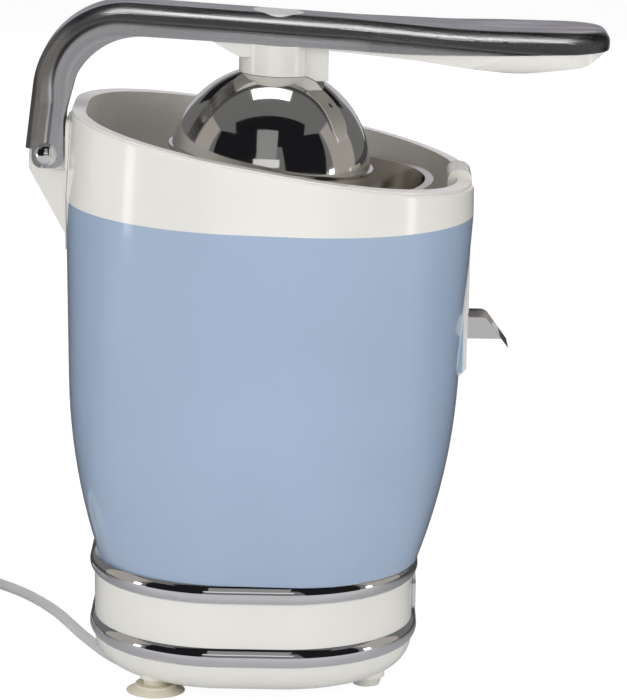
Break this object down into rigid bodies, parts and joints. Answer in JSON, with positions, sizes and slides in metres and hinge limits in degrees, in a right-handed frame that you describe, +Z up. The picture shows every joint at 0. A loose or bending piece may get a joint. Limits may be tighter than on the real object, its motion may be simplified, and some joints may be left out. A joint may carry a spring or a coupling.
{
  "type": "electric citrus press",
  "caption": "Electric citrus press: leaning round body on a ringed base, slanted juice bowl with reaming cone, hinged lever with pressing dome, tilting spout and a coiled mains cord.",
  "frame": {"origin": "on the table, under the middle of the press without its cord", "axes": "+Z up, +X to the front (spout and handle), +Y to the press's left"},
  "size_m": [0.3965, 0.2439, 0.3341],
  "materials": {
    "ivory_plastic": "gloss moulded",
    "blue_plastic": "gloss, powder blue",
    "chrome": "bright plated",
    "polished_steel": "mirror polished stainless",
    "brushed_aluminium": "brushed sides, polished top",
    "smoky_plastic": "see-through grey",
    "grey_plastic": "satin",
    "cream_rubber": "soft, cream",
    "cord_sheath": "smooth pale sheath",
    "inner_plastic": "matt",
    "steel": "bright",
    "bronze": "sintered",
    "copper_wire": "enamelled wire",
    "seal_rubber": "matt black"
  },
  "bodies": {
    "stand": {"badge_plate": "chrome", "base_housing": "ivory_plastic", "base_plate": "grey_plastic", "base_screws": "steel", "body_shell": "blue_plastic", "bracket_screws": "steel", "chassis_plate": "inner_plastic", "chassis_screws": "steel", "coil_tie": "cord_sheath", "collar": "ivory_plastic", "cord_coil": "cord_sheath", "cord_gland": "cord_sheath", "front_feet": "ivory_plastic", "front_frame": "ivory_plastic", "gear_bush": "bronze", "gear_cover": "inner_plastic", "gear_plate": "inner_plastic", "gear_plate_screws": "steel", "hinge_bracket": "ivory_plastic", "hinge_bushes": "bronze", "intermediate_axle": "steel", "juice_collector": "smoky_plastic", "lower_bearing_bracket": "steel", "lower_trim_ring": "chrome", "microswitch": "inner_plastic", "motor_bearings": "bronze", "motor_deck": "inner_plastic", "plug": "cord_sheath", "power_cord": "cord_sheath", "rear_suction_feet": "cream_rubber", "return_spring": "steel", "shaft_seal": "seal_rubber", "spindle_bush": "bronze", "spout_pin": "steel", "stator_core": "steel", "stator_windings": "copper_wire", "strainer": "polished_steel", "upper_bearing_bracket": "steel", "upper_trim_ring": "chrome"},
    "lever": {"lever_arm": "brushed_aluminium", "handle_liner": "ivory_plastic", "liner_screws": "steel", "pivot_pin": "steel", "pivot_screws": "chrome", "dome_carrier": "ivory_plastic", "press_dome": "polished_steel", "dome_screw": "steel", "release_spring": "steel"},
    "button": {"release_button": "grey_plastic"},
    "spout_body": {"spout": "polished_steel"},
    "rotor_body": {"rotor": "steel", "motor_pinion": "steel", "cooling_fan": "inner_plastic"},
    "intermediate_body": {"intermediate_gear": "inner_plastic"},
    "output_body": {"output_gear": "inner_plastic"},
    "spindle_body": {"drive_spindle": "steel", "reamer_cone": "grey_plastic"},
    "plunger_body": {"switch_plunger": "inner_plastic"}
  },
  "joints": [
    {"name": "lever_pivot", "type": "hinge", "parent": "stand", "child": "lever", "pos_m": [-0.13225, 0, 0.259], "axis": [0, -1, 0], "range_deg": [0, 80]},
    {"name": "release_press", "type": "slide", "parent": "lever", "child": "button", "axis": [-0.0561, 0, -0.9984], "range_m": [0, 0.002], "stiffness_N_per_m": 600, "springref_m": -0.002, "deforming": ["release_spring"]},
    {"name": "spout_tilt", "type": "hinge", "parent": "stand", "child": "spout_body", "pos_m": [0.07245, 0, 0.1776], "axis": [0, -1, 0], "range_deg": [0, 25]},
    {"name": "rotor_spin", "type": "hinge", "parent": "stand", "child": "rotor_body", "pos_m": [-0.04341, -0.02758, 0.09], "axis": [0, 0, 1], "continuous": true},
    {"name": "intermediate_spin", "type": "hinge", "parent": "stand", "child": "intermediate_body", "pos_m": [-0.06655, 0, 0.127], "axis": [0, 0, 1], "continuous": true},
    {"name": "output_spin", "type": "hinge", "parent": "stand", "child": "output_body", "pos_m": [-0.02155, 0, 0.137], "axis": [0, 0, 1], "continuous": true},
    {"name": "spindle_press", "type": "slide", "parent": "output_body", "child": "spindle_body", "axis": [0, 0, -1], "range_m": [0, 0.002], "stiffness_N_per_m": 2000, "springref_m": -0.003, "deforming": ["return_spring"]},
    {"name": "switch_press", "type": "slide", "parent": "stand", "child": "plunger_body", "axis": [0, 0, -1], "range_m": [0, 0.002]}
  ],
  "couplings": [
    {"joint": "intermediate_spin", "follows": "rotor_spin", "ratio": -0.2},
    {"joint": "output_spin", "follows": "rotor_spin", "ratio": 0.05},
    {"joint": "switch_press", "follows": "spindle_press", "ratio": 1}
  ]
}
